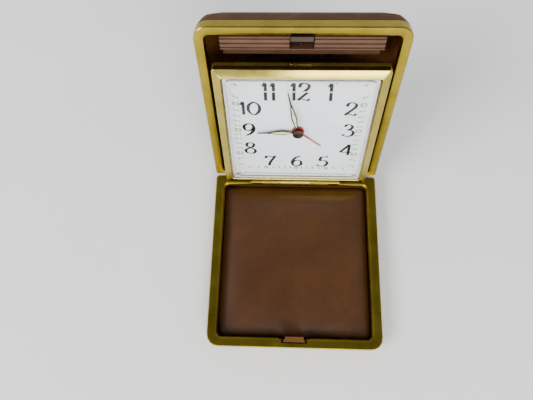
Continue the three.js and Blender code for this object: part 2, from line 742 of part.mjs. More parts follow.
// the pillars are riveted into the front plate
function frontPlate() {
  const pivots = [THIRD_ARBOR, FOURTH_ARBOR, ESCAPE_ARBOR, PALLET_ARBOR, BALANCE_STAFF, STRIKE_ARBOR];
  const small = pivots.concat([HAMMER_ARBOR, MINUTE_ARBOR, GOING_BARREL, ALARM_BARREL]);
  const span = [BACK_PLATE[1] + GAP, FRONT_PLATE[1] - 0.2];
  const pillars = PILLARS.map((spot) => discZ(1.4, span, spot, 12));
  return join(plate(FRONT_PLATE, small, [HUB, ALARM_STEM]), ...pillars);
}

function backPlate() {
  const small = [THIRD_ARBOR, FOURTH_ARBOR, ESCAPE_ARBOR, PALLET_ARBOR, STRIKE_ARBOR, HAMMER_ARBOR];
  const clicks = [clickPlace(GOING_BARREL), clickPlace(ALARM_BARREL)];
  const wide = [HUB, ALARM_STEM, GOING_BARREL, ALARM_BARREL, BALANCE_STAFF];
  return plate(BACK_PLATE, small.concat(PILLARS, clicks), wide);
}

function screw(spot, [headBack, headFront], headRadius, shankRadius, shankFront) {
  const profile = [
    [0, headBack],
    [headRadius, headBack],
    [headRadius, headFront],
    [shankRadius, headFront],
    [shankRadius, shankFront],
    [0, shankFront],
  ];
  return turned(profile, spot, 10);
}

function rearCover() {
  const outline = centredOutline(COVER_HALF_X, COVER_HALF_Y, 4);
  const section = [
    [1.6, COVER_BACK],
    [0.4, COVER_BACK + 0.5],
    [0, COVER_BACK + 1.6],
    [0, 0.1],
    [SHEET, 0.1],
    [SHEET, COVER_BACK + 1.6],
    [1.9, COVER_BACK + SHEET],
  ];
  const shell = loft(section.map(([amount, z]) => ringAt(inset(outline, amount), z, 2)), false);
  const through = [COVER_BACK - 1, COVER_BACK + 3];
  const holes = [GOING_BARREL, ALARM_BARREL, HUB, ALARM_STEM].map((spot) => discZ(1.7, through, spot, 16));
  const screwHoles = COVER_SCREWS.map((spot) => discZ(0.9, through, spot, 12));
  const regulatorSlot = tube(6.2, 8, through, BALANCE_STAFF, 24);
  const [staffX, staffY] = BALANCE_STAFF;
  const slotSpan = box([staffX - 3.4, staffX + 3.4], [staffY - 9, staffY], through);
  const slot = toGeometry(toSolid(regulatorSlot).intersect(toSolid(slotSpan)));
  return cut(shell, ...holes, ...screwHoles, slot);
}

// ---- going train --------------------------------------------------------------------------------
function drumLevels() {
  return [-7.4, -4.2];
}

// open drum with its great wheel; the mainspring lies inside
function barrel(spot, gear, drumRadius, phase) {
  const [low, high] = drumLevels();
  const profile = [
    [1.5, high],
    [drumRadius, high],
    [drumRadius, low],
    [drumRadius - 0.6, low],
    [drumRadius - 0.6, high - 0.6],
    [1.5, high - 0.6],
    [1.5, high],
  ];
  const drum = turned(profile, spot, 24);
  const wheel = gearSlab(gear, [-3.9, -3.1], spot, phase, 1.5);
  const neck = tube(1.8, 2.8, [-4.4, -3.6], spot);
  return join(drum, wheel, neck);
}

function mainspring(spot, inner, outer, turns) {
  const wall = 0.35;
  const steps = Math.round(turns * 12);
  const shape = new THREE.Shape();
  const at = (i, offset) => {
    const angle = (2 * Math.PI * turns * i) / steps;
    const radius = inner + ((outer - inner) * i) / steps + offset;
    return [radius * Math.cos(angle), radius * Math.sin(angle)];
  };
  shape.moveTo(...at(0, 0));
  for (let i = 1; i <= steps; i += 1) shape.lineTo(...at(i, 0));
  for (let i = steps; i >= 0; i -= 1) shape.lineTo(...at(i, wall));
  shape.closePath();
  return slab(shape, [-7.3, -5.2]).translate(spot[0], spot[1], 0);
}

// barrel arbor with its square for the key and the ratchet wheel behind the back plate
function windingArbor(spot) {
  const body = arbor(-2.1, [[PIVOT_SIZE, -2.9], [1.1, -12.7]], spot);
  const teeth = 18;
  const ratchet = new THREE.Shape();
  for (let tooth = 0; tooth < teeth; tooth += 1) {
    const start = (2 * Math.PI * tooth) / teeth;
    const end = (2 * Math.PI * (tooth + 0.8)) / teeth;
    const low = [4 * Math.cos(start), 4 * Math.sin(start)];
    if (tooth === 0) ratchet.moveTo(...low);
    else ratchet.lineTo(...low);
    ratchet.lineTo(4.7 * Math.cos(end), 4.7 * Math.sin(end));
  }
  ratchet.closePath();
  return join(body, slab(ratchet, [-10.4, -9.8]).translate(spot[0], spot[1], 0));
}

function clickPlace([x, y]) {
  return [x + Math.sign(x) * 2.5, y - CLICK_OFFSET];
}

// the click lies beside its ratchet wheel with its tip just clear of the teeth
function click(spot) {
  const [x, y] = clickPlace(spot);
  const side = Math.sign(x);
  const finger = new THREE.Shape();
  finger.absarc(0, 0, 1.1, 0.3, 2 * Math.PI - 0.3, false);
  finger.lineTo(5.4, -0.2);
  finger.lineTo(5.4, 0.5);
  const lever = slab(finger, [-10.4, -9.8]);
  lever.rotateZ(Math.PI / 2 - side * 1.35).translate(x, y, 0);
  return join(lever, arbor(-8.9, [[PIVOT_SIZE, -10]], [x, y], 10));
}

function windingKey(spot, turn) {
  const wing = new THREE.Shape();
  wing.moveTo(-6.4, -1.6);
  wing.absarc(-5.2, 0, 2, Math.PI * 1.25, Math.PI * 0.75, true);
  wing.lineTo(-1.8, 1.2);
  wing.lineTo(1.8, 1.2);
  wing.lineTo(3.8, 1.4);
  wing.absarc(5.2, 0, 2, Math.PI * 0.75, Math.PI * 1.25 - 2 * Math.PI, true);
  wing.lineTo(1.8, -1.2);
  wing.lineTo(-1.8, -1.2);
  wing.lineTo(-3.8, -1.4);
  const plateSlab = slab(wing, [KNOB_BACK, KNOB_BACK + 1.3], 4);
  const boss = discZ(2.3, [KNOB_BACK + 0.4, COVER_BACK - GAP], [0, 0], 14);
  return join(plateSlab, boss).rotateZ(turn).translate(spot[0], spot[1], 0);
}

function centreWheel() {
  const body = arbor(3.65, [[0.4, -1.9], [0.8, -12.7]], HUB);
  const pinion = gearSlab(CENTRE_PINION, [-4.1, -3], HUB, gapToward(HUB, GOING_BARREL, CENTRE_PINION));
  const wheel = gearSlab(CENTRE, [-8.3, -7.8], HUB, toothToward(HUB, THIRD_ARBOR));
  return join(body, pinion, wheel);
}

function thirdWheel() {
  const body = arbor(-2.1, [[PIVOT_SIZE, -2.9], [0.7, -8.5], [PIVOT_SIZE, -9.2]], THIRD_ARBOR);
  const pinion = gearSlab(THIRD_PINION, [-8.4, -7.6], THIRD_ARBOR, gapToward(THIRD_ARBOR, HUB, THIRD_PINION));
  const wheel = gearSlab(THIRD, [-7.1, -6.6], THIRD_ARBOR, toothToward(THIRD_ARBOR, FOURTH_ARBOR));
  return join(body, pinion, wheel);
}

function fourthWheel() {
  const body = arbor(-2.1, [[PIVOT_SIZE, -2.9], [0.7, -8.5], [PIVOT_SIZE, -9.2]], FOURTH_ARBOR);
  const phase = gapToward(FOURTH_ARBOR, THIRD_ARBOR, FOURTH_PINION);
  const pinion = gearSlab(FOURTH_PINION, [-7.3, -6.4], FOURTH_ARBOR, phase);
  const wheel = gearSlab(FOURTH, [-5.8, -5.3], FOURTH_ARBOR, toothToward(FOURTH_ARBOR, ESCAPE_ARBOR));
  return join(body, pinion, wheel);
}

function hookedWheel(teeth, tip, root, levels) {
  const shape = new THREE.Shape();
  for (let tooth = 0; tooth < teeth; tooth += 1) {
    const start = (2 * Math.PI * tooth) / teeth;
    const lean = (2 * Math.PI * (tooth + 0.35)) / teeth;
    const back = (2 * Math.PI * (tooth + 0.5)) / teeth;
    const low = [root * Math.cos(start), root * Math.sin(start)];
    if (tooth === 0) shape.moveTo(...low);
    else shape.lineTo(...low);
    shape.lineTo(tip * Math.cos(lean), tip * Math.sin(lean));
    shape.lineTo(root * Math.cos(back), root * Math.sin(back));
  }
  shape.closePath();
  return slab(shape, levels);
}

function escapeWheel() {
  const body = arbor(-2.1, [[PIVOT_SIZE, -2.9], [0.6, -8.5], [PIVOT_SIZE, -9.2]], ESCAPE_ARBOR);
  const wheel = hookedWheel(15, 4, 3.1, [-4.4, -3.9]).translate(ESCAPE_ARBOR[0], ESCAPE_ARBOR[1], 0);
  const phase = gapToward(ESCAPE_ARBOR, FOURTH_ARBOR, ESCAPE_PINION);
  const pinion = gearSlab(ESCAPE_PINION, [-6, -5.1], ESCAPE_ARBOR, phase);
  return join(body, wheel, pinion);
}

// lever with two upright pallet pins beside the escape wheel and a fork toward the balance
function palletLever() {
  const body = arbor(-2.1, [[PIVOT_SIZE, -9.2]], PALLET_ARBOR, 12);
  const toEscape = bearing(PALLET_ARBOR, ESCAPE_ARBOR);
  const reach = 3.2;
  const spread = 0.95;
  const pins = [-spread, spread].map((side) => {
    const angle = toEscape + side;
    return [PALLET_ARBOR[0] + reach * Math.cos(angle), PALLET_ARBOR[1] + reach * Math.sin(angle)];
  });
  const pinSolids = pins.map((spot) => discZ(0.25, [-5, -3.8], spot, 8));
  const arms = [-spread, spread].map((side) => bar(reach, 0.9, toEscape + side, PALLET_ARBOR, [-5, -4.6]));
  const fork = bar(5, 0.9, bearing(PALLET_ARBOR, BALANCE_STAFF), PALLET_ARBOR, [-5, -4.6]);
  return join(body, ...arms, fork, ...pinSolids);
}

// a straight bar that starts at a place and points along an angle
function bar(length, width, angle, spot, [z0, z1]) {
  return box([0, length], [-width / 2, width / 2], [z0, z1]).rotateZ(angle).translate(spot[0], spot[1], 0);
}

function balanceWheel() {
  const staff = arbor(-2.1, [[0.35, -2.9], [0.6, -8.3], [0.35, -9.2]], BALANCE_STAFF, 12);
  const rim = tube(4.8, 5.6, [-6.9, -5.9], BALANCE_STAFF, 20);
  const spokes = [
    bar(10, 0.9, 0, [0, 0], [-6.7, -6.2]).translate(-5, 0, 0),
    bar(10, 0.9, Math.PI / 2, [0, 0], [-6.7, -6.2]).translate(0, -5, 0),
  ];
  const placed = spokes.map((spoke) => spoke.translate(BALANCE_STAFF[0], BALANCE_STAFF[1], 0));
  const roller = discZ(1.3, [-5.1, -4.6], BALANCE_STAFF, 16);
  return join(staff, rim, ...placed, roller);
}

function hairspring() {
  const turns = 3.5;
  const steps = 42;
  const shape = new THREE.Shape();
  const at = (i, offset) => {
    const angle = (2 * Math.PI * turns * i) / steps;
    const radius = 1.1 + (2.9 * i) / steps + offset;
    return [radius * Math.cos(angle), radius * Math.sin(angle)];
  };
  shape.moveTo(...at(0, 0));
  for (let i = 1; i <= steps; i += 1) shape.lineTo(...at(i, 0));
  for (let i = steps; i >= 0; i -= 1) shape.lineTo(...at(i, 0.18));
  shape.closePath();
  return slab(shape, [-7.9, -7.6]).translate(BALANCE_STAFF[0], BALANCE_STAFF[1], 0);
}

// ring round the balance staff, with an arm down and a pointer out through the cover's slot
function regulatorLever() {
  const ring = tube(1.1, 2, [-10.3, -9.8], BALANCE_STAFF, 16);
  const arm = bar(5.9, 0.9, -Math.PI / 2, [0, -1.4], [-10.3, -9.8]);
  const pointer = box([-0.45, 0.45], [-7.3, -6.5], [-12.5, -9.8]);
  return join(ring, arm.translate(...BALANCE_STAFF, 0), pointer.translate(...BALANCE_STAFF, 0));
}

// ---- alarm train --------------------------------------------------------------------------------
function strikeWheel() {
  const body = arbor(-2.1, [[PIVOT_SIZE, -2.9], [0.7, -8.5], [PIVOT_SIZE, -9.2]], STRIKE_ARBOR);
  const phase = gapToward(STRIKE_ARBOR, ALARM_BARREL, STRIKE_PINION);
  const pinion = gearSlab(STRIKE_PINION, [-4.1, -3], STRIKE_ARBOR, phase);
  const wheel = hookedWheel(12, 3.4, 2.6, [-5.4, -4.9]).translate(STRIKE_ARBOR[0], STRIKE_ARBOR[1], 0);
  return join(body, pinion, wheel);
}

function alarmHammer() {
  const body = arbor(-2.1, [[PIVOT_SIZE, -9.2]], HAMMER_ARBOR, 12);
  const pallet = bar(2.3, 1, bearing(HAMMER_ARBOR, STRIKE_ARBOR), HAMMER_ARBOR, [-5.4, -4.9]);
  const arm = bar(11, 1.1, THREE.MathUtils.degToRad(97), HAMMER_ARBOR, [-5.4, -4.9]);
  const head = discZ(1.5, [-6.2, -4.2], along(HAMMER_ARBOR, 97, 11.5), 14);
  return join(body, pallet, arm, head);
}

// ---- motion work and alarm setting --------------------------------------------------------------
function cannonPinion() {
  const pipe = tube(0.6, 0.9, [-1.6, 3.2], HUB);
  const teeth = gearSlab(CANNON, [-1.5, -0.9], HUB, toothToward(HUB, MINUTE_ARBOR), 0.6);
  return join(pipe, teeth);
}

function minuteWheel() {
  const post = arbor(0.05, [[0.6, -1.6], [PIVOT_SIZE, -2.4]], MINUTE_ARBOR, 12);
  const wheel = gearSlab(MINUTE, [-1.45, -1], MINUTE_ARBOR, gapToward(MINUTE_ARBOR, HUB, MINUTE));
  const pinion = gearSlab(MINUTE_PINION, [-1.1, 0], MINUTE_ARBOR, toothToward(MINUTE_ARBOR, HUB));
  return join(post, wheel, pinion);
}

function hourWheel() {
  const pipe = tube(1.15, 1.5, [-0.6, 2.65], HUB);
  const wheel = gearSlab(HOUR, [-0.6, -0.15], HUB, gapToward(HUB, MINUTE_ARBOR, HOUR), 1.15);
  return join(pipe, wheel);
}

function alarmWheel() {
  const pipe = tube(1.8, 2.2, [0.35, 2.05], HUB);
  const wheel = gearSlab(ALARM, [0.35, 0.85], HUB, toothToward(HUB, ALARM_STEM), 1.8);
  return join(pipe, wheel);
}

function alarmSettingStem() {
  const stem = arbor(1, [[0.8, -12.7]], ALARM_STEM, 14);
  const gear = gearSlab(ALARM_SETTING, [0.3, 0.9], ALARM_STEM, gapToward(ALARM_STEM, HUB, ALARM_SETTING));
  return join(stem, gear);
}

// fluted knob with a blind socket over the end of its stem
function settingKnob(spot, radius) {
  const flutes = 14;
  const shape = new THREE.Shape();
  for (let i = 0; i < 2 * flutes; i += 1) {
    const angle = (Math.PI * i) / flutes;
    const reach = i % 2 ? radius : radius - 0.3;
    const point = [reach * Math.cos(angle), reach * Math.sin(angle)];
    if (i === 0) shape.moveTo(...point);
    else shape.lineTo(...point);
  }
  shape.closePath();
  const body = slab(shape, [KNOB_BACK, COVER_BACK - GAP]);
  return cut(body, discZ(1.15, [-13.1, COVER_BACK], [0, 0], 14)).translate(spot[0], spot[1], 0);
}

function socketed(key, spot) {
  return cut(key, discZ(1.45, [-13.1, COVER_BACK], spot, 14));
}

// ---- assembly -----------------------------------------------------------------------------------
const clockFolding = new THREE.Group();
const baseHalf = new THREE.Group();
const backHalf = new THREE.Group();
const clock = new THREE.Group();
clockFolding.add(baseHalf, backHalf);
backHalf.add(clock);

// the base is drawn face up from the hinge; a half turn about Z points its length to the front
baseHalf.position.set(0, LENGTH / 2, BASE_DEPTH);
baseHalf.rotation.z = Math.PI;
backHalf.position.set(0, LENGTH / 2, BASE_DEPTH);
backHalf.rotation.x = Math.PI - OPEN_ANGLE;
clock.position.set(0, CLOCK_CENTRE, 0);

function place(group, name, geometry, material) {
  const mesh = new THREE.Mesh(geometry, material);
  mesh.name = name;
  group.add(mesh);
}

const rod = (radius, reach, y, z) => rodX(radius, [-reach, reach], y, z, 10);

place(baseHalf, 'base_shell', hingeCleared(shellGeometry(BASE_DEPTH, BASE_DOME, BASE_DOME)), leather);
place(baseHalf, 'base_rim', baseRim(), gold);
place(baseHalf, 'base_liner', baseLiner(), padding);
place(baseHalf, 'latch_tongue', latchTongue(), plastic);
place(baseHalf, 'case_hinge_pin', rod(HINGE_PIN, 24.5, 0, 0), steel);
place(baseHalf, 'clock_pivot_rod', rod(PIVOT_ROD, 20.4, PIVOT_RUN, PIVOT_RISE), steel);

place(backHalf, 'back_shell', hingeCleared(shellGeometry(BACK_DEPTH, BACK_DOME, HEEL_DOME)), leather);
place(backHalf, 'back_rim', backRim(), gold);
place(backHalf, 'inner_tray', innerTray(), plastic);
place(backHalf, 'latch_catch', latchCatch(), plastic);
place(backHalf, 'latch_spring', latchSpring(), spring);

place(clock, 'carrier_frame', carrierFrame(), steel);
place(clock, 'clock_case', clockCase(), gold);
place(clock, 'bezel', bezelGeometry(), gold);
place(clock, 'crystal', crystalGeometry(), clear);
place(clock, 'dial', dialGeometry(), dialWhite);
place(clock, 'alarm_stop_bar', alarmStopBar(), gold);
place(clock, 'hour_hand', hourHand(), lume);
place(clock, 'minute_hand', minuteHand(), lume);
place(clock, 'alarm_hand', alarmHand(), red);
place(clock, 'hub_cap', turned([[0, 4], [2.2, 4], [2.2, 4.45], [1.6, 4.75], [0, 4.75]], HUB, 24), darkMetal);

place(clock, 'front_plate', frontPlate(), brass);
place(clock, 'back_plate', backPlate(), brass);
PILLARS.forEach((spot, i) => {
  place(clock, `plate_screw_${i + 1}`, screw(spot, [-10.3, -9.8], 1.4, 0.5, -8.8), steel);
});
place(clock, 'rear_cover', rearCover(), gold);
COVER_SCREWS.forEach((spot, i) => {
  place(clock, `cover_screw_${i + 1}`, screw(spot, [-12.9, -12.4], 1.5, 0.6, -10.2), steel);
});

place(clock, 'going_barrel', barrel(GOING_BARREL, GREAT, 9, toothToward(GOING_BARREL, HUB)), brass);
place(clock, 'going_mainspring', mainspring(GOING_BARREL, 1.5, 7.6, 4), spring);
place(clock, 'going_arbor', windingArbor(GOING_BARREL), steel);
place(clock, 'going_click', click(GOING_BARREL), steel);
place(clock, 'going_key', socketed(windingKey(GOING_BARREL, 0.5), GOING_BARREL), brass);
place(clock, 'centre_wheel', centreWheel(), brass);
place(clock, 'third_wheel', thirdWheel(), brass);
place(clock, 'fourth_wheel', fourthWheel(), brass);
place(clock, 'escape_wheel', escapeWheel(), brass);
place(clock, 'pallet_lever', palletLever(), steel);
place(clock, 'balance_wheel', balanceWheel(), brass);
place(clock, 'hairspring', hairspring(), spring);
place(clock, 'regulator_lever', regulatorLever(), steel);

const alarmPhase = toothToward(ALARM_BARREL, STRIKE_ARBOR);
place(clock, 'alarm_barrel', barrel(ALARM_BARREL, ALARM_GREAT, 5.9, alarmPhase), brass);
place(clock, 'alarm_mainspring', mainspring(ALARM_BARREL, 1.5, 4.6, 3), spring);
place(clock, 'alarm_arbor', windingArbor(ALARM_BARREL), steel);
place(clock, 'alarm_click', click(ALARM_BARREL), steel);
place(clock, 'alarm_key', socketed(windingKey(ALARM_BARREL, -0.4), ALARM_BARREL), brass);
place(clock, 'strike_wheel', strikeWheel(), brass);
place(clock, 'alarm_hammer', alarmHammer(), steel);

place(clock, 'cannon_pinion', cannonPinion(), steel);
place(clock, 'minute_wheel', minuteWheel(), brass);
place(clock, 'hour_wheel', hourWheel(), brass);
place(clock, 'alarm_wheel', alarmWheel(), brass);
place(clock, 'alarm_setting_stem', alarmSettingStem(), steel);
place(clock, 'alarm_set_knob', settingKnob(ALARM_STEM, 3.4), brass);
place(clock, 'time_set_knob', settingKnob(HUB, 3.6), brass);

export default clockFolding;
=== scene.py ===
"""Folding travel alarm clock on a pale table: materials, dial print, padded liner, camera and light."""
import json
import math

import bmesh
import bpy
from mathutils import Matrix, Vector


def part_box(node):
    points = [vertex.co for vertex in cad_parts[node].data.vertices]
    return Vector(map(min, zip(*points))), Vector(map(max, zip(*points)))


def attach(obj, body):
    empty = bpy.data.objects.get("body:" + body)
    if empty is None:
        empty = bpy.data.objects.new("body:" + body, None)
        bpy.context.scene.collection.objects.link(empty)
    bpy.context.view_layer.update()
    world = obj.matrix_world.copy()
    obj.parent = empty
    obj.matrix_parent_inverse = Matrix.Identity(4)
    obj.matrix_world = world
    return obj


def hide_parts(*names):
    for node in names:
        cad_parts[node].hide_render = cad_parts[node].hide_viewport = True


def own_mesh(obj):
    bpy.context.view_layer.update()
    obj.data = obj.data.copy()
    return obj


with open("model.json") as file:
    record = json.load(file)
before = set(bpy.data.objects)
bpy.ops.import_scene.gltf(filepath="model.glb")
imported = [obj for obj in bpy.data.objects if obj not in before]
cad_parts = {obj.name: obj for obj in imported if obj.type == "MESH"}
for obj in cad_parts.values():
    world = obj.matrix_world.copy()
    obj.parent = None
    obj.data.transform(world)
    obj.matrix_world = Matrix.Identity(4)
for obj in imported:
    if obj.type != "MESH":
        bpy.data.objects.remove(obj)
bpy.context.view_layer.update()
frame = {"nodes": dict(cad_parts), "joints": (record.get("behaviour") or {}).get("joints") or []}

MM = 0.001
NODES = frame["nodes"]
JOINTS = {joint["name"]: joint for joint in frame["joints"]}

# the case hinge, and the clock's own axes: RIGHT and UP lie in the dial, OUT points at the viewer
HINGE = Vector(JOINTS["case_hinge"]["pos_m"])
HUB = Vector(JOINTS["time_set"]["pos_m"])
OUT = Vector(JOINTS["time_set"]["axis"]).normalized()
RIGHT = Vector((1, 0, 0))
UP = OUT.cross(RIGHT)

DIAL_FRONT = 2.0  # level of the dial's face along OUT, in millimetres
PRINT_LIFT = 0.03
NUMERAL_HEIGHT = 6.5
NUMERAL_STRETCH = 1.1
TRACK_HALF_X = 23.9
TRACK_HALF_Y = 23.0

HOUR_ANGLE = math.radians(182)
MINUTE_ANGLE = math.radians(102)
HOUR_LENGTH = 16.5
MINUTE_LENGTH = 21.0


def clock_point(x, y, z):
    """A place in the shared frame, from millimetres along the clock's own axes from the hands' arbor."""
    return HUB + MM * (x * RIGHT + y * UP + z * OUT)


# ---- node helpers -------------------------------------------------------------------------------
class Tree:
    """A material's nodes, with short calls for the few kinds used here. Lengths are in millimetres."""

    def __init__(self, name):
        self.material = bpy.data.materials.new(name)
        self.material.use_nodes = True
        self.tree = self.material.node_tree
        self.shader = self.tree.nodes["Principled BSDF"]
        coordinates = self.tree.nodes.new("ShaderNodeTexCoord")
        scaled = self.tree.nodes.new("ShaderNodeMapping")
        scaled.inputs["Scale"].default_value = (1000, 1000, 1000)
        self.link(coordinates.outputs["Object"], scaled.inputs["Vector"])
        self.place = scaled.outputs["Vector"]

    def link(self, source, target):
        self.tree.links.new(source, target)

    def stretched(self, scale):
        """Object coordinates, stretched along the axes with a small scale."""
        node = self.tree.nodes.new("ShaderNodeMapping")
        node.inputs["Scale"].default_value = scale
        self.link(self.place, node.inputs["Vector"])
        return node.outputs["Vector"]

    def noise(self, size, detail=4.0, roughness=0.55, vector=None, distortion=0.0):
        node = self.tree.nodes.new("ShaderNodeTexNoise")
        node.inputs["Scale"].default_value = 1 / size
        node.inputs["Detail"].default_value = detail
        node.inputs["Roughness"].default_value = roughness
        node.inputs["Distortion"].default_value = distortion
        self.link(vector or self.place, node.inputs["Vector"])
        return node.outputs["Fac"]

    def cells(self, size, vector):
        """Distance to the edges of irregular cells."""
        node = self.tree.nodes.new("ShaderNodeTexVoronoi")
        node.feature = "DISTANCE_TO_EDGE"
        node.inputs["Scale"].default_value = 1 / size
        self.link(vector, node.inputs["Vector"])
        return node.outputs["Distance"]

    def warped(self, size, amount):
        """Object coordinates, pushed about by a soft noise."""
        node = self.tree.nodes.new("ShaderNodeTexNoise")
        node.inputs["Scale"].default_value = 1 / size
        self.link(self.place, node.inputs["Vector"])
        scaled = self.tree.nodes.new("ShaderNodeVectorMath")
        scaled.operation = "MULTIPLY_ADD"
        scaled.inputs[1].default_value = (amount, amount, amount)
        self.link(node.outputs["Color"], scaled.inputs[0])
        self.link(self.place, scaled.inputs[2])
        return scaled.outputs["Vector"]

    def ramp(self, factor, stops):
        node = self.tree.nodes.new("ShaderNodeValToRGB")
        elements = node.color_ramp.elements
        while len(elements) < len(stops):
            elements.new(0.5)
        for element, (position, color) in zip(elements, stops):
            element.position = position
            element.color = (*color, 1)
        self.link(factor, node.inputs["Fac"])
        return node.outputs["Color"]

    def span(self, factor, low, high, start=0.3, end=0.7):
        """Maps start to end of a value onto low to high."""
        node = self.tree.nodes.new("ShaderNodeMapRange")
        node.inputs["From Min"].default_value = start
        node.inputs["From Max"].default_value = end
        node.inputs["To Min"].default_value = low
        node.inputs["To Max"].default_value = high
        self.link(factor, node.inputs["Value"])
        return node.outputs["Result"]

    def mix(self, factor, first, second):
        node = self.tree.nodes.new("ShaderNodeMix")
        node.data_type = "RGBA"
        sockets = [s for s in node.inputs if s.enabled]
        for socket, value in zip(sockets, (factor, first, second)):
            if isinstance(value, bpy.types.NodeSocket):
                self.link(value, socket)
            elif socket.type == "RGBA":
                socket.default_value = (*value, 1)
            else:
                socket.default_value = value
        return next(s for s in node.outputs if s.enabled)

    def math(self, operation, first, second):
        node = self.tree.nodes.new("ShaderNodeMath")
        node.operation = operation
        for socket, value in zip(node.inputs, (first, second)):
            if isinstance(value, bpy.types.NodeSocket):
                self.link(value, socket)
            else:
                socket.default_value = value
        return node.outputs["Value"]

    def bump(self, height, depth, strength):
        node = self.tree.nodes.new("ShaderNodeBump")
        node.inputs["Strength"].default_value = strength
        node.inputs["Distance"].default_value = depth * MM
        self.link(height, node.inputs["Height"])
        return node.outputs["Normal"]

    def set(self, **sockets):
        """Gives shader sockets a value or a link. Spaces in their names are written as underscores."""
        for name, value in sockets.items():
            socket = self.shader.inputs[name.replace("_", " ")]
            if isinstance(value, bpy.types.NodeSocket):
                self.link(value, socket)
            elif socket.type == "RGBA":
                socket.default_value = (*value, 1)
            else:
                socket.default_value = value


# ---- materials ----------------------------------------------------------------------------------
def metal(name, dark, light, rough_low, rough_high, grain=(1, 1, 1), grain_depth=0.004, tarnish=None):
    """Satin metal: fine directional grain, cloudy roughness and, where given, a patchy tarnish colour."""
    tree = Tree(name)
    clouds = tree.noise(9, 5)
    color = tree.ramp(clouds, [(0.3, dark), (0.7, light)])
    if tarnish:
        patches = tree.noise(4, 8, 0.7)
        color = tree.mix(tree.span(patches, 0, 0.35, 0.58, 0.78), color, tarnish)
    lines = tree.noise(0.35, 3, 0.6, tree.stretched(grain))
    scratches = tree.noise(1.2, 6, 0.8, tree.stretched((1, 0.06, 0.06)))
    wear = tree.math("ADD", tree.math("MULTIPLY", clouds, 0.6), tree.math("MULTIPLY", scratches, 0.4))
    roughness = tree.span(wear, rough_low, rough_high)
    tree.set(Base_Color=color, Metallic=1.0, Roughness=roughness, Normal=tree.bump(lines, grain_depth, 0.6))
    return tree.material


def leatherette(name, deep, mid, light, size, depth, roughness, specular, varnish=0.0):
    """Embossed leatherette: irregular pebbles with dark creases, fine pores and slow colour drift."""
    tree = Tree(name)
    pebbles = tree.cells(size, tree.warped(size * 2.2, size * 0.9))
    raised = tree.span(pebbles, 0, 1, 0.0, 0.28)
    pores = tree.noise(size * 0.35, 3, 0.7)
    drift = tree.noise(16, 4)
    base = tree.ramp(drift, [(0.3, mid), (0.7, light)])
    color = tree.mix(raised, tree.mix(0.55, base, deep), base)
    worn = tree.noise(6, 8, 0.75)
    color = tree.mix(tree.span(worn, 0, 0.25, 0.6, 0.8), color, tuple(min(1, c * 1.9) for c in light))
    height = tree.math("ADD", tree.math("MULTIPLY", raised, 0.8), tree.math("MULTIPLY", pores, 0.25))
    rough = tree.span(worn, roughness - 0.07, roughness + 0.1)
    tree.set(Base_Color=color, Roughness=rough, Normal=tree.bump(height, depth, 0.8))
    tree.set(Specular_IOR_Level=specular, Coat_Weight=varnish, Coat_Roughness=0.31)
    return tree.material


def moulded_plastic(name, dark, light, roughness):
    """Moulded plastic with a slightly streaky colour and a fine sparked texture."""
    tree = Tree(name)
    color = tree.ramp(tree.noise(7, 6, 0.6), [(0.3, dark), (0.72, light)])
    rough = tree.span(tree.noise(2.5, 5), roughness - 0.06, roughness + 0.08)
    tree.set(Base_Color=color, Roughness=rough, Normal=tree.bump(tree.noise(0.16, 2), 0.008, 0.5))
    tree.set(Specular_IOR_Level=0.3)
    return tree.material


def painted(name, dark, light, roughness, specular=0.5):
    """Thin paint or print: faint mottling, a little orange peel, slightly uneven gloss."""
    tree = Tree(name)
    color = tree.ramp(tree.noise(5, 6, 0.6), [(0.35, dark), (0.65, light)])
    rough = tree.span(tree.noise(1.4, 4), roughness - 0.05, roughness + 0.06)
    tree.set(Base_Color=color, Roughness=rough, Normal=tree.bump(tree.noise(0.3, 3), 0.003, 0.4))
    tree.set(Specular_IOR_Level=specular)
    return tree.material


def dial_card(name):
    """Pale lilac-white dial: printed paper-smooth paint, with faint yellowing and speckle."""
    tree = Tree(name)
    drift = tree.ramp(tree.noise(18, 4), [(0.3, (0.76, 0.77, 0.82)), (0.7, (0.82, 0.84, 0.88))])
    speckle = tree.span(tree.noise(0.5, 6, 0.8), 0, 0.35, 0.66, 0.8)
    color = tree.mix(speckle, drift, (0.60, 0.57, 0.55))
    tree.set(Base_Color=color, Roughness=0.55, Normal=tree.bump(tree.noise(0.12, 3), 0.002, 0.4))
    return tree.material


def clear_acrylic(name):
    """Clear pressed acrylic with hairline scratches. Light for the dial passes straight through it."""
    tree = Tree(name)
    hairs = tree.noise(1.5, 8, 0.85, tree.stretched((0.05, 1, 1)))
    tree.set(
        Base_Color=(0.97, 0.98, 0.98),
        Roughness=tree.span(hairs, 0.0, 0.05, 0.62, 0.85),
        IOR=1.49,
        Specular_Tint=(0.35, 0.35, 0.35),
        Transmission_Weight=1.0,
        Normal=tree.bump(tree.noise(9, 2), 0.006, 0.15),
    )
    rays = tree.tree.nodes.new("ShaderNodeLightPath")
    passes = tree.math("MAXIMUM", rays.outputs["Is Shadow Ray"], rays.outputs["Is Diffuse Ray"])
    straight = tree.tree.nodes.new("ShaderNodeBsdfTransparent")
    straight.inputs["Color"].default_value = (0.96, 0.97, 0.97, 1)
    either = tree.tree.nodes.new("ShaderNodeMixShader")
    tree.link(passes, either.inputs[0])
    tree.link(tree.shader.outputs["BSDF"], either.inputs[1])
    tree.link(straight.outputs["BSDF"], either.inputs[2])
    tree.link(either.outputs["Shader"], tree.tree.nodes["Material Output"].inputs["Surface"])
    return tree.material


def edge_highlight_acrylic(name):
    """Edges of the crystal: rough, and painted white as a painted highlight for the light lines along its
    facet edges.
    """
    tree = Tree(name)
    color = tree.ramp(tree.noise(0.8, 5), [(0.3, (0.72, 0.75, 0.76)), (0.7, (0.88, 0.90, 0.90))])
    rough = tree.span(tree.noise(0.5, 5), 0.22, 0.45)
    tree.set(Base_Color=color, Roughness=rough, Transmission_Weight=0.35, IOR=1.49)
    return tree.material


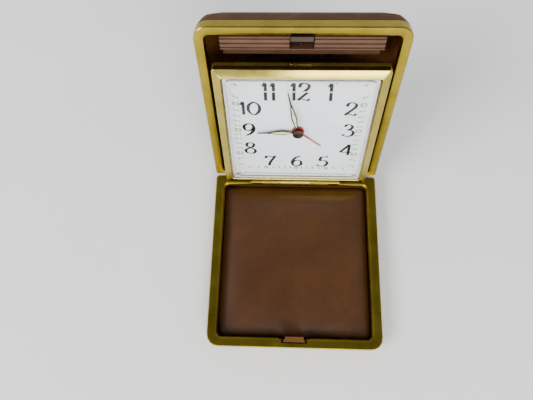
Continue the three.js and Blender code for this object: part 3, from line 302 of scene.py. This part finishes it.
def floor_paper(name):
    """Pale matt backdrop paper."""
    tree = Tree(name)
    color = tree.ramp(tree.noise(60, 3), [(0.3, (0.92, 0.92, 0.92)), (0.7, (0.95, 0.95, 0.95))])
    tree.set(Base_Color=color, Roughness=0.6, Specular_IOR_Level=0.2)
    return tree.material


GOLD = metal(
    "gilt_rim", (0.26, 0.19, 0.020), (0.34, 0.26, 0.032), 0.24, 0.36, tarnish=(0.20, 0.13, 0.03))
BEZEL_GOLD = metal(
    "gilt_bezel", (0.38, 0.29, 0.055), (0.50, 0.41, 0.10), 0.16, 0.28, (1, 0.3, 0.3), 0.003)
CASE_GOLD = metal(
    "gilt_case", (0.30, 0.22, 0.030), (0.40, 0.31, 0.055), 0.42, 0.56, (1, 0.3, 0.3), 0.003)
BRASS = metal(
    "lacquered_brass", (0.46, 0.31, 0.09), (0.62, 0.45, 0.15), 0.24, 0.38, (1, 0.2, 0.2), 0.005,
    (0.30, 0.18, 0.06))
STEEL = metal(
    "satin_steel", (0.32, 0.32, 0.33), (0.46, 0.46, 0.47), 0.24, 0.40, (1, 0.15, 0.15), 0.005)
SPRING = metal("blued_spring", (0.05, 0.055, 0.08), (0.10, 0.11, 0.15), 0.25, 0.40)
# dark brown of the hub cap; on the latch spring the same dark is painted shade for the latch slot
DARK = metal("browned_cap_and_slot_shade", (0.03, 0.016, 0.011), (0.065, 0.036, 0.026), 0.24, 0.38)
LEATHER = leatherette(
    "brown_leatherette", (0.025, 0.009, 0.003), (0.105, 0.040, 0.009), (0.145, 0.058, 0.013),
    size=0.62, depth=0.05, roughness=0.5, specular=0.05)
LINING = leatherette(
    "liner_leatherette", (0.018, 0.006, 0.001), (0.062, 0.0205, 0.0035), (0.090, 0.031, 0.0055),
    size=0.5, depth=0.03, roughness=0.38, specular=0.2, varnish=0.8)
PLASTIC = moulded_plastic("mauve_plastic", (0.066, 0.030, 0.015), (0.098, 0.046, 0.024), 0.42)
# painted shade: a darker copy of the tray plastic on the latch catch, for the shade in the latch notch
SHADED_CATCH_PLASTIC = moulded_plastic("catch_plastic_painted_shade", (0.030, 0.016, 0.010), (0.055, 0.030, 0.020), 0.38)
TONGUE = moulded_plastic("copper_plastic", (0.10, 0.044, 0.010), (0.15, 0.068, 0.018), 0.38)
DIAL = dial_card("dial_paint")
INK = painted("dial_ink", (0.003, 0.003, 0.005), (0.007, 0.007, 0.010), 0.6, 0.1)
GREY_INK = painted("track_ink", (0.012, 0.012, 0.018), (0.03, 0.03, 0.045), 0.6, 0.1)
HAND_BLACK = painted("hand_black", (0.006, 0.006, 0.006), (0.014, 0.013, 0.012), 0.4, 0.25)
LUME = painted("luminous_paint", (0.62, 0.64, 0.30), (0.76, 0.77, 0.42), 0.65)
RED = painted("alarm_red", (0.42, 0.030, 0.020), (0.56, 0.05, 0.03), 0.38)
CLEAR = clear_acrylic("clear_acrylic")
# painted highlight: white crystal edges stand in for the light caught along the facet edges
PAINTED_EDGE_HIGHLIGHT = edge_highlight_acrylic("crystal_edges_painted_highlight")


# ---- CAD nodes ----------------------------------------------------------------------------------
MATERIAL_OF = {
    GOLD: ["base_rim", "back_rim"],
    BEZEL_GOLD: ["bezel", "alarm_stop_bar"],
    CASE_GOLD: ["clock_case"],
    LEATHER: ["base_shell", "back_shell"],
    LINING: ["base_liner"],
    PLASTIC: ["inner_tray"],
    SHADED_CATCH_PLASTIC: ["latch_catch"],
    TONGUE: ["latch_tongue"],
    CLEAR: ["crystal"],
    DIAL: ["dial"],
    HAND_BLACK: ["hour_hand", "minute_hand"],
    RED: ["alarm_hand"],
    # the latch spring is dark as painted shade in the latch slot
    DARK: ["hub_cap", "latch_spring"],
    BRASS: [
        "rear_cover", "carrier_frame", "front_plate", "back_plate", "going_barrel", "alarm_barrel",
        "centre_wheel", "third_wheel", "fourth_wheel", "escape_wheel", "balance_wheel", "strike_wheel",
        "minute_wheel", "hour_wheel", "alarm_wheel", "going_key", "alarm_key", "alarm_set_knob",
        "time_set_knob",
    ],
    SPRING: ["going_mainspring", "hairspring", "alarm_mainspring"],
}
# widths of the softened edges, in millimetres
BEVELS = {
    "base_rim": 0.12, "back_rim": 0.12, "bezel": 0.1, "clock_case": 0.1, "rear_cover": 0.15,
    "inner_tray": 0.08, "latch_catch": 0.08, "latch_tongue": 0.12, "crystal": 0.24, "going_key": 0.18,
    "alarm_key": 0.18, "alarm_set_knob": 0.15, "time_set_knob": 0.15, "alarm_stop_bar": 0.08,
    "hub_cap": 0.15, "cover_screw_1": 0.12, "cover_screw_2": 0.12, "hour_hand": 0.05,
    "minute_hand": 0.05, "alarm_hand": 0.05,
}
# faces that meet at less than this many degrees are shaded as one curve
SMOOTH_ANGLE = 35
CRYSTAL_SMOOTH_ANGLE = 13


def add_modifier(obj, kind, **settings):
    modifier = obj.modifiers.new(kind.lower(), kind)
    for name, value in settings.items():
        setattr(modifier, name, value)


def dress_node(name, material):
    """Gives a CAD node its material, smooth curves and, where it shows, softened edges."""
    obj = NODES[name]
    mesh = obj.data
    if mesh.materials:
        mesh.materials[0] = material
    else:
        mesh.materials.append(material)
    if "custom_normal" in mesh.attributes:
        mesh.attributes.remove(mesh.attributes["custom_normal"])
    mesh.shade_smooth()
    add_modifier(obj, "WELD", merge_threshold=0.002 * MM)
    smooth_angle = CRYSTAL_SMOOTH_ANGLE if name == "crystal" else SMOOTH_ANGLE
    if name in BEVELS:
        add_modifier(
            obj, "BEVEL", width=BEVELS[name] * MM, segments=2, limit_method="ANGLE",
            angle_limit=math.radians(smooth_angle - 3), harden_normals=True, miter_outer="MITER_ARC")
    add_modifier(obj, "EDGE_SPLIT", split_angle=math.radians(smooth_angle), use_edge_sharp=False)


def dress_frame():
    """Dresses every CAD node, in steel unless it's listed, and paints the crystal's edges white as a
    painted highlight.
    """
    chosen = {node: material for material, nodes in MATERIAL_OF.items() for node in nodes}
    for name in NODES:
        dress_node(name, chosen.get(name, STEEL))
    crystal = NODES["crystal"]
    crystal.data.materials.append(PAINTED_EDGE_HIGHLIGHT)
    crystal.modifiers["bevel"].material = 1


# ---- mesh helpers -------------------------------------------------------------------------------
def new_piece(name, vertices, faces, material, body, smooth=False):
    mesh = bpy.data.meshes.new(name)
    mesh.from_pydata([tuple(v) for v in vertices], [], faces)
    mesh.materials.append(material)
    mesh.validate()
    obj = bpy.data.objects.new(name, mesh)
    bpy.context.scene.collection.objects.link(obj)
    if smooth:
        mesh.shade_smooth()
    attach(obj, body)
    return obj


def raised_shapes(name, outlines, level, thickness, material, body):
    """Thin flat shapes standing on a level of the clock. Each outline is a list of (x, y)."""
    vertices, faces = [], []
    for outline in outlines:
        start, count = len(vertices), len(outline)
        vertices += [clock_point(x, y, level) for x, y in outline]
        vertices += [clock_point(x, y, level + thickness) for x, y in outline]
        faces.append([start + i for i in reversed(range(count))])
        faces.append([start + count + i for i in range(count)])
        for i in range(count):
            j = (i + 1) % count
            faces.append([start + i, start + j, start + count + j, start + count + i])
    return new_piece(name, vertices, faces, material, body)


# ---- dial print ---------------------------------------------------------------------------------
# Pen paths for the figures: points in a box one unit high, joined by smooth curves. A path of two
# points is a straight stroke. The pen is broad on upright strokes and fine on level ones.
FIGURES = {
    "0": ([
        [(0.36, 1.00), (0.12, 0.80), (0.05, 0.50), (0.12, 0.20), (0.36, 0.00), (0.60, 0.20),
         (0.67, 0.50), (0.60, 0.80), (0.36, 1.00)],
    ], 0.72),
    "1": ([
        [(0.02, 0.80), (0.12, 0.86), (0.20, 1.00)],
        [(0.20, 1.00), (0.21, 0.50), (0.22, 0.00)],
    ], 0.36),
    "2": ([
        [(0.07, 0.70), (0.12, 0.92), (0.33, 1.00), (0.53, 0.88), (0.52, 0.66), (0.30, 0.38),
         (0.06, 0.10), (0.02, 0.02)],
        [(0.02, 0.03), (0.16, 0.13), (0.34, 0.07), (0.50, 0.02), (0.62, 0.13)],
    ], 0.64),
    "3": ([
        [(0.06, 0.84), (0.18, 0.98), (0.36, 0.99), (0.50, 0.84), (0.42, 0.64), (0.22, 0.55)],
        [(0.22, 0.55), (0.46, 0.52), (0.60, 0.32), (0.52, 0.08), (0.28, 0.00), (0.05, 0.08),
         (0.04, 0.18)],
    ], 0.64),
    "4": ([
        [(0.52, 1.00), (0.28, 0.64), (0.02, 0.28)],
        [(0.02, 0.28), (0.70, 0.28)],
        [(0.52, 1.00), (0.52, 0.50), (0.52, 0.00)],
    ], 0.72),
    "5": ([
        [(0.20, 0.96), (0.38, 0.93), (0.52, 0.94), (0.60, 1.02)],
        [(0.20, 0.96), (0.12, 0.55)],
        [(0.12, 0.55), (0.34, 0.62), (0.54, 0.50), (0.60, 0.30), (0.48, 0.06), (0.24, 0.00),
         (0.04, 0.08), (0.03, 0.17)],
    ], 0.64),
    "6": ([
        [(0.54, 1.00), (0.28, 0.86), (0.10, 0.58), (0.06, 0.32), (0.16, 0.06), (0.36, 0.00),
         (0.56, 0.10), (0.62, 0.30), (0.54, 0.52), (0.36, 0.58), (0.16, 0.48), (0.08, 0.32)],
    ], 0.68),
    "7": ([
        [(0.02, 0.76), (0.08, 0.94), (0.24, 0.95), (0.42, 0.88), (0.62, 0.98)],
        [(0.62, 0.98), (0.40, 0.56), (0.28, 0.26), (0.24, 0.00)],
    ], 0.64),
    "8": ([
        [(0.34, 0.54), (0.14, 0.68), (0.14, 0.90), (0.33, 1.00), (0.52, 0.90), (0.52, 0.70),
         (0.34, 0.54), (0.10, 0.38), (0.05, 0.18), (0.18, 0.02), (0.34, 0.00), (0.52, 0.03),
         (0.62, 0.20), (0.56, 0.38), (0.34, 0.54)],
    ], 0.68),
    "9": ([
        [(0.14, 0.00), (0.40, 0.14), (0.58, 0.42), (0.62, 0.68), (0.52, 0.94), (0.32, 1.00),
         (0.12, 0.90), (0.06, 0.70), (0.14, 0.48), (0.32, 0.42), (0.52, 0.52), (0.60, 0.68)],
    ], 0.68),
}
THICK_PEN = 0.090  # half the breadth of an upright stroke, for a figure one unit high
THIN_PEN = 0.034
NIB_ANGLE = math.radians(12)


def smooth_path(points, steps=6):
    """Catmull-Rom curve through the points."""
    if len(points) < 3:
        return [Vector(p) for p in points]
    padded = [points[0]] + list(points) + [points[-1]]
    path = []
    for i in range(len(points) - 1):
        a, b, c, d = (Vector(p) for p in padded[i:i + 4])
        for k in range(steps):
            t = k / steps
            bend = (2 * a - 5 * b + 4 * c - d) * t ** 2 + (3 * b - a - 3 * c + d) * t ** 3
            path.append(0.5 * (2 * b + (c - a) * t + bend))
    path.append(Vector(points[-1]))
    return path


def pen_stroke(points):
    """Outline quads of a broad-pen stroke along a path."""
    path = smooth_path(points)
    left, right = [], []
    for i, point in enumerate(path):
        along = (path[min(i + 1, len(path) - 1)] - path[max(i - 1, 0)]).normalized()
        upright = abs(math.sin(math.atan2(along.y, along.x) + NIB_ANGLE))
        half = THIN_PEN + (THICK_PEN - THIN_PEN) * upright ** 1.6
        side = Vector((-along.y, along.x)) * half
        left.append(point + side)
        right.append(point - side)
    return left + right[::-1]


def figure_outlines(text, centre, height):
    """Strokes of a number, centred on a place on the dial."""
    widths = [FIGURES[digit][1] for digit in text]
    gap = 0.06
    total = sum(widths) + gap * (len(text) - 1)
    breadth = NUMERAL_STRETCH * height
    outlines, start = [], -total / 2
    for digit, width in zip(text, widths):
        for path in FIGURES[digit][0]:
            stroke = pen_stroke(path)
            outlines.append(
                [(centre[0] + breadth * (start + p.x), centre[1] + height * (p.y - 0.5)) for p in stroke])
        start += width + gap
    return outlines


def stroke_strip(name, outlines, level, thickness, material, body):
    """Strokes as strips of quads, so that curved ones fill cleanly."""
    vertices, faces = [], []
    for outline in outlines:
        start, half = len(vertices), len(outline) // 2
        left, right = outline[:half], outline[half:][::-1]
        for a, b in zip(left, right):
            vertices += [clock_point(*a, level), clock_point(*b, level)]
            vertices += [clock_point(*a, level + thickness), clock_point(*b, level + thickness)]
        for i in range(half - 1):
            here, there = start + 4 * i, start + 4 * (i + 1)
            faces.append([here + 2, here + 3, there + 3, there + 2])
            faces.append([here, there, there + 1, here + 1])
            faces.append([here, here + 2, there + 2, there])
            faces.append([here + 1, there + 1, there + 3, here + 3])
        end = start + 4 * (half - 1)
        faces.append([start, start + 1, start + 3, start + 2])
        faces.append([end, end + 2, end + 3, end + 1])
    return new_piece(name, vertices, faces, material, body)


def numerals():
    """The twelve hour numbers, a little closer to the middle above and below than at the sides."""
    places = {
        "12": (0.1, 19.0), "1": (11.3, 18.9), "2": (20.0, 11.7), "3": (20.4, 0.3), "4": (20.7, -11.1),
        "5": (11.5, -18.6), "6": (0.2, -18.6), "7": (-11.3, -18.6), "8": (-19.7, -10.6),
        "9": (-19.8, 0.3),
        "10": (-18.9, 11.7), "11": (-11.5, 18.9),
    }
    outlines = []
    for text, centre in places.items():
        outlines += figure_outlines(text, centre, NUMERAL_HEIGHT)
    stroke_strip("dial_numerals", outlines, DIAL_FRONT + PRINT_LIFT, 0.02, INK, "clock")


def circle(centre, radius, count):
    angles = [2 * math.pi * i / count for i in range(count)]
    return [(centre[0] + radius * math.cos(a), centre[1] + radius * math.sin(a)) for a in angles]


def ring_outline(centre, radius, half, count=20):
    """A closed ring as one stroke: its outer side, then its inner side backwards."""
    outer = circle(centre, radius + half, count)
    inner = circle(centre, radius - half, count)
    return outer + [outer[0], inner[0]] + inner[::-1]


def minute_track():
    """Short strokes round a square, with a small ring and a luminous dot at each hour."""
    strokes, dots = [], []
    for minute in range(60):
        angle = math.radians(90 - 6 * minute)
        c, s = math.cos(angle), math.sin(angle)
        reach = min(TRACK_HALF_X / max(abs(c), 1e-6), TRACK_HALF_Y / max(abs(s), 1e-6))
        centre = (reach * c, reach * s)
        if minute % 5 == 0:
            strokes.append(ring_outline(centre, 0.72, 0.14))
            dots.append(circle(centre, 0.5, 16))
            continue
        side = (-s * 0.17, c * 0.17)
        ends = [(centre[0] + k * 0.75 * c, centre[1] + k * 0.75 * s) for k in (-1, 1)]
        left = [(x + side[0], y + side[1]) for x, y in ends]
        right = [(x - side[0], y - side[1]) for x, y in ends]
        strokes.append(left + right[::-1])
    stroke_strip("minute_track", strokes, DIAL_FRONT + PRINT_LIFT, 0.02, GREY_INK, "clock")
    raised_shapes("hour_dots", dots, DIAL_FRONT + PRINT_LIFT, 0.05, LUME, "clock")


def turned_outline(outline, angle):
    """An outline turned about the hands' arbor."""
    c, s = math.cos(angle), math.sin(angle)
    return [(x * c - y * s, x * s + y * c) for x, y in outline]


def hand_lume(name, length, width, angle, level, body):
    """The luminous filling between the black edges of a hand."""
    outline = [(0.165 * length, 0.10), (0.38 * length, width / 2 - 0.55), (0.66 * length, 0.08)]
    outline = outline + [(x, -y) for x, y in reversed(outline)]
    raised_shapes(name, [turned_outline(outline, angle)], level, 0.05, LUME, body)


# ---- padded liner -------------------------------------------------------------------------------
LINER_GRID = 44  # faces along each side of the sheet
LINER_SCALE = 20  # the cloth is worked at twenty times its size, where the solver is steady


def rounded_square_point(s, t, half_x, half_y, radius):
    """Maps a unit square onto a rectangle with rounded corners."""
    x, y = s * half_x, t * half_y
    dx, dy = abs(x) - (half_x - radius), abs(y) - (half_y - radius)
    if dx > 0 and dy > 0:
        scale = max(dx, dy) / math.hypot(dx, dy)
        x = math.copysign(half_x - radius + dx * scale, x)
        y = math.copysign(half_y - radius + dy * scale, y)
    return x, y


def liner_sheet(low, high):
    """Top sheet of the pad, flat at first, with its turned-down border."""
    centre = (low + high) / 2
    half_x, half_y = (high.x - low.x) / 2, (high.y - low.y) / 2
    thickness = high.z - low.z
    vertices, faces, free = [], [], []
    for j in range(LINER_GRID + 1):
        for i in range(LINER_GRID + 1):
            s, t = 2 * i / LINER_GRID - 1, 2 * j / LINER_GRID - 1
            x, y = rounded_square_point(s, t, half_x, half_y, 2.5 * MM)
            rim = max(abs(s), abs(t))
            z = low.z + thickness * (0.10 if rim > 0.999 else 0.22 if rim > 0.96 else 0.3)
            vertices.append(Vector((centre.x + x, centre.y + y, z)))
            free.append(rim < 0.97)
    row = LINER_GRID + 1
    for j in range(LINER_GRID):
        for i in range(LINER_GRID):
            faces.append([j * row + i, j * row + i + 1, (j + 1) * row + i + 1, (j + 1) * row + i])
    return vertices, faces, free


def inflate(obj, free, frames=20):
    """Blows the free part of the sheet up with the Cloth solver, then applies the result."""
    group = obj.vertex_groups.new(name="edge")
    group.add([i for i, loose in enumerate(free) if not loose], 1.0, "REPLACE")
    cloth = obj.modifiers.new("cloth", "CLOTH")
    cloth.settings.quality = 6
    cloth.settings.mass = 0.3
    cloth.settings.tension_stiffness = 12
    cloth.settings.compression_stiffness = 12
    cloth.settings.shear_stiffness = 6
    cloth.settings.bending_stiffness = 1.2
    cloth.settings.vertex_group_mass = "edge"
    cloth.settings.use_pressure = True
    cloth.settings.uniform_pressure_force = 5
    cloth.settings.effector_weights.gravity = 0
    cloth.point_cache.frame_start = 1
    cloth.point_cache.frame_end = frames
    scene = bpy.context.scene
    for number in range(1, frames + 1):
        scene.frame_set(number)
    evaluated = obj.evaluated_get(bpy.context.evaluated_depsgraph_get())
    shaped = [v.co.copy() for v in evaluated.data.vertices]
    obj.modifiers.remove(cloth)
    scene.frame_set(1)
    for vertex, place in zip(obj.data.vertices, shaped):
        vertex.co = place


def padded_liner():
    """Replaces the liner's plain solid with a sheet blown up by the Cloth solver, as high as the solid."""
    low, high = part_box("base_liner")
    vertices, faces, free = liner_sheet(low, high)
    origin = (low + high) / 2
    worked = [(v - origin) * LINER_SCALE for v in vertices]
    mesh = bpy.data.meshes.new("liner_pad")
    mesh.from_pydata([tuple(v) for v in worked], [], faces)
    obj = bpy.data.objects.new("liner_pad", mesh)
    bpy.context.scene.collection.objects.link(obj)
    inflate(obj, free)
    crown = max(v.co.z for v in mesh.vertices)
    level = vertices[free.index(True)].z
    room = high.z - level
    for vertex, loose, start in zip(mesh.vertices, free, vertices):
        place = vertex.co / LINER_SCALE + origin
        if loose and crown > 0:
            rise = min(max((place.z - level) / max(crown / LINER_SCALE + origin.z - level, 1e-9), 0), 1)
            place.z = level + room * (1 - (1 - rise) ** 2.2)
        vertex.co = place
    close_below(mesh, low.z)
    mesh.materials.append(LINING)
    mesh.shade_smooth()
    add_modifier(obj, "SUBSURF", levels=1, render_levels=1)
    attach(obj, "base")
    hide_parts("base_liner")


def close_below(mesh, level):
    """Closes the sheet with a flat underside, so that the pad is a solid."""
    work = bmesh.new()
    work.from_mesh(mesh)
    border = [edge for edge in work.edges if edge.is_boundary]
    grown = bmesh.ops.extrude_edge_only(work, edges=border)
    added = [item for item in grown["geom"] if isinstance(item, bmesh.types.BMVert)]
    for vertex in added:
        vertex.co.z = level
    bottom = [item for item in grown["geom"] if isinstance(item, bmesh.types.BMEdge)]
    bmesh.ops.contextual_create(work, geom=bottom)
    bmesh.ops.recalc_face_normals(work, faces=work.faces)
    work.to_mesh(mesh)
    work.free()


# ---- latch spring -------------------------------------------------------------------------------
def latch_coil():
    """The latch spring as a separate piece with a mesh of its own, carried by the back half."""
    node = NODES["latch_spring"]
    places = [node.matrix_world @ vertex.co for vertex in node.data.vertices]
    faces = [list(face.vertices) for face in node.data.polygons]
    # the spring takes the dark cap finish as painted shade, so the latch slot reads black
    piece = new_piece("latch_coil", places, faces, DARK, "back", smooth=True)
    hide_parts("latch_spring")
    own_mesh(piece)


# ---- floor, light and camera --------------------------------------------------------------------
def make_floor():
    mesh = bpy.data.meshes.new("floor")
    reach = 3.0
    corners = [(-reach, -reach, 0), (reach, -reach, 0), (reach, reach, 0), (-reach, reach, 0)]
    mesh.from_pydata(corners, [], [(0, 1, 2, 3)])
    mesh.materials.append(floor_paper("floor_paper"))
    floor = bpy.data.objects.new("floor", mesh)
    bpy.context.scene.collection.objects.link(floor)


def area_light(name, place, size, power, color):
    """A soft box that faces the clock."""
    light = bpy.data.lights.new(name, "AREA")
    light.shape = "RECTANGLE"
    light.size, light.size_y = size
    light.energy = power
    light.color = color
    obj = bpy.data.objects.new(name, light)
    bpy.context.scene.collection.objects.link(obj)
    obj.location = place
    target = Vector((0, 0.02, 0.03))
    obj.rotation_euler = (target - Vector(place)).to_track_quat("-Z", "Y").to_euler()


def make_sky():
    """Studio surround: bright walls, a dim ceiling that darkens overhead."""
    world = bpy.data.worlds.new("studio")
    bpy.context.scene.world = world
    world.use_nodes = True
    nodes, links = world.node_tree.nodes, world.node_tree.links
    background = nodes["Background"]
    direction = nodes.new("ShaderNodeTexCoord")
    parts = nodes.new("ShaderNodeSeparateXYZ")
    shades = nodes.new("ShaderNodeValToRGB")
    shades.color_ramp.elements[0].position = 0.10
    shades.color_ramp.elements[0].color = (0.95, 0.96, 1.0, 1)
    shades.color_ramp.elements[1].position = 1.0
    shades.color_ramp.elements[1].color = (0.14, 0.14, 0.14, 1)
    middle = shades.color_ramp.elements.new(0.8)
    middle.color = (0.32, 0.32, 0.31, 1)
    links.new(direction.outputs["Generated"], parts.inputs["Vector"])
    links.new(parts.outputs["Z"], shades.inputs["Fac"])
    links.new(shades.outputs["Color"], background.inputs["Color"])
    background.inputs["Strength"].default_value = 1.3


def make_light():
    make_sky()
    area_light("front_window", (0.1, -1.3, 0.26), (1.8, 0.5), 12, (1, 0.99, 0.96))
    area_light("key_box", (-1.1, -0.6, 0.85), (0.9, 0.6), 24, (1, 0.99, 0.97))
    area_light("fill_box", (0.4, -1.15, 0.85), (0.8, 0.5), 16, (1, 0.99, 0.97))


def make_camera():
    """Stands where the fitted camera stood: offsets are in case widths from the hinge axis."""
    low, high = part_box("base_rim")
    width = high.x - low.x
    camera = bpy.data.cameras.new("camera")
    camera.lens = 29.73
    camera.sensor_width = 36
    camera.clip_start = 0.005
    obj = bpy.data.objects.new("camera", camera)
    bpy.context.scene.collection.objects.link(obj)
    obj.location = HINGE + width * Vector((-0.0786, -0.9893, 2.6106))
    yaw, pitch, roll = -0.1197, 1.263, 0.0979
    forward = Vector((math.sin(yaw) * math.cos(pitch), math.cos(yaw) * math.cos(pitch), -math.sin(pitch)))
    side = forward.cross(Vector((0, 0, 1))).normalized()
    below = forward.cross(side)
    right = math.cos(roll) * side + math.sin(roll) * below
    down = -math.sin(roll) * side + math.cos(roll) * below
    matrix = obj.matrix_world.to_3x3()
    for row in range(3):
        matrix[row] = (right[row], -down[row], -forward[row])
    obj.rotation_euler = matrix.to_euler()
    bpy.context.scene.camera = obj


dress_frame()
numerals()
minute_track()
hand_lume("hour_lume", HOUR_LENGTH, 2.5, HOUR_ANGLE, 3.24, "hour_gear")
hand_lume("minute_lume", MINUTE_LENGTH, 2.4, MINUTE_ANGLE, 3.79, "time_setting")
padded_liner()
latch_coil()
make_floor()
make_light()
make_camera()
